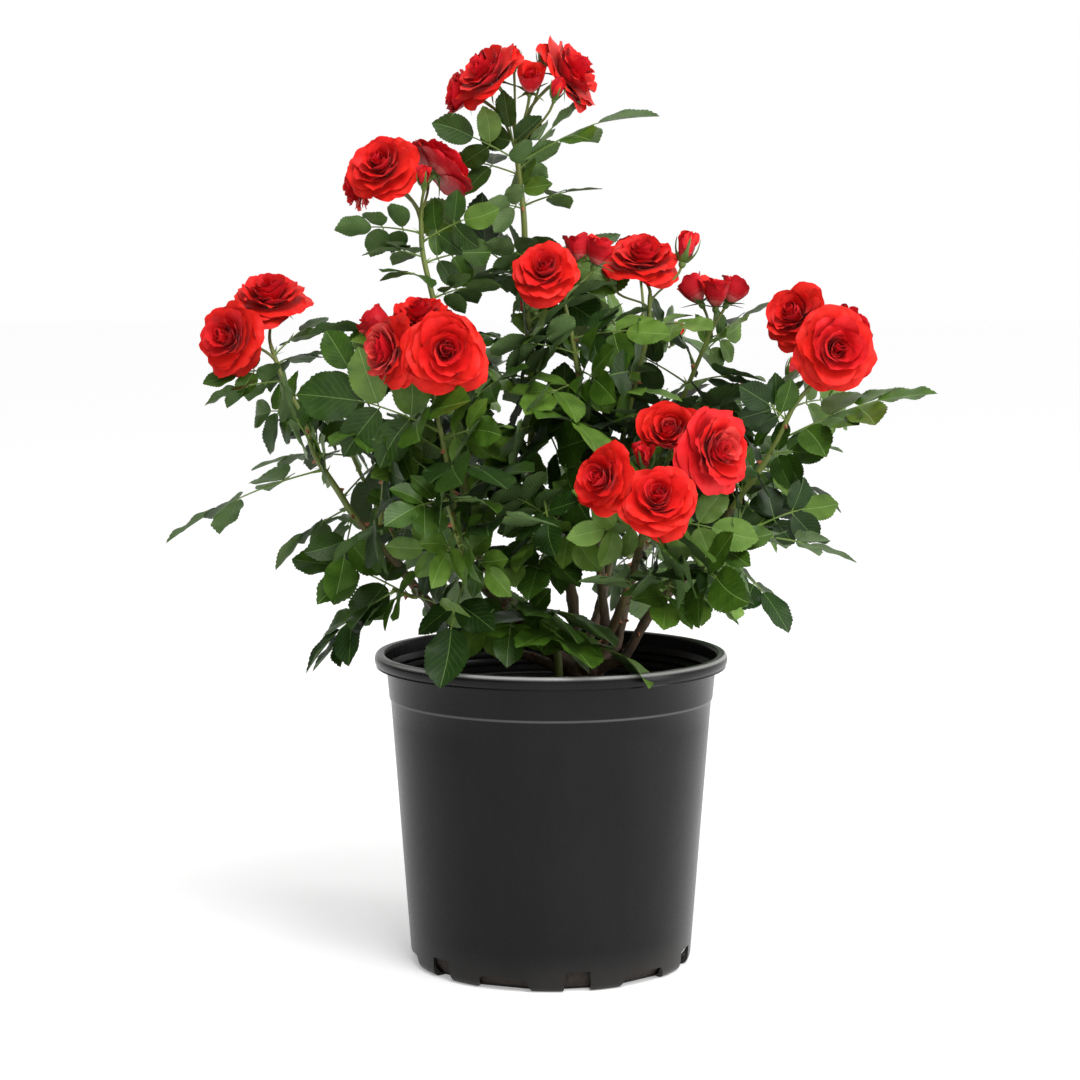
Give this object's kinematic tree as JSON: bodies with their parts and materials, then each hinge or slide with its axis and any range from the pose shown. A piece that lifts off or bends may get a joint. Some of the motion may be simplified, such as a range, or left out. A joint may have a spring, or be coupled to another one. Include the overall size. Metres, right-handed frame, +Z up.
{
  "type": "potted rose bush",
  "caption": "Bushy rose in a round black nursery pot, with branching canes, compound leaves and clusters of double red blooms.",
  "frame": {"origin": "centre of the pot's flat underside, where it stands", "axes": "+Z up, -Y towards the front of the bush, +X to the right"},
  "size_m": [0.5832, 0.4548, 0.7243],
  "materials": {
    "pot": "satin black blow-moulded plastic",
    "soil": "dark potting mix with bark mulch",
    "bark": "brown to olive rose bark",
    "green_stem": "smooth green stem",
    "foliage": "semi-gloss dark green leaves",
    "blossom": "soft orange-red petals"
  },
  "bodies": {
    "root": {"pot": "pot", "soil": "soil", "root_stock": "bark", "cut_stub": "green_stem", "leader_cane": "bark", "left_inner_cane": "bark", "left_cane": "bark", "centre_cane": "bark", "right_cane": "bark", "front_cane": "bark", "back_right_cane": "bark", "rear_right_cane": "bark", "rear_left_cane": "bark", "leader_shoot": "foliage", "leader_side_shoot": "foliage", "upper_left_shoot": "foliage", "centre_left_shoot": "foliage", "left_shoot": "foliage", "left_low_shoot": "foliage", "left_front_shoot": "foliage", "left_middle_shoot": "foliage", "middle_shoot": "foliage", "middle_right_shoot": "foliage", "back_right_shoot": "foliage", "right_shoot": "foliage", "right_low_shoot": "foliage", "front_shoot": "foliage", "front_low_shoot": "foliage", "front_middle_shoot": "foliage", "inner_low_shoot": "foliage", "stub_leaf": "foliage", "rear_right_shoot": "foliage", "rear_left_shoot": "foliage", "rear_low_right_shoot": "foliage", "rear_low_left_shoot": "foliage", "left_back_shoot": "foliage", "right_back_shoot": "foliage"}
  },
  "joints": []
}
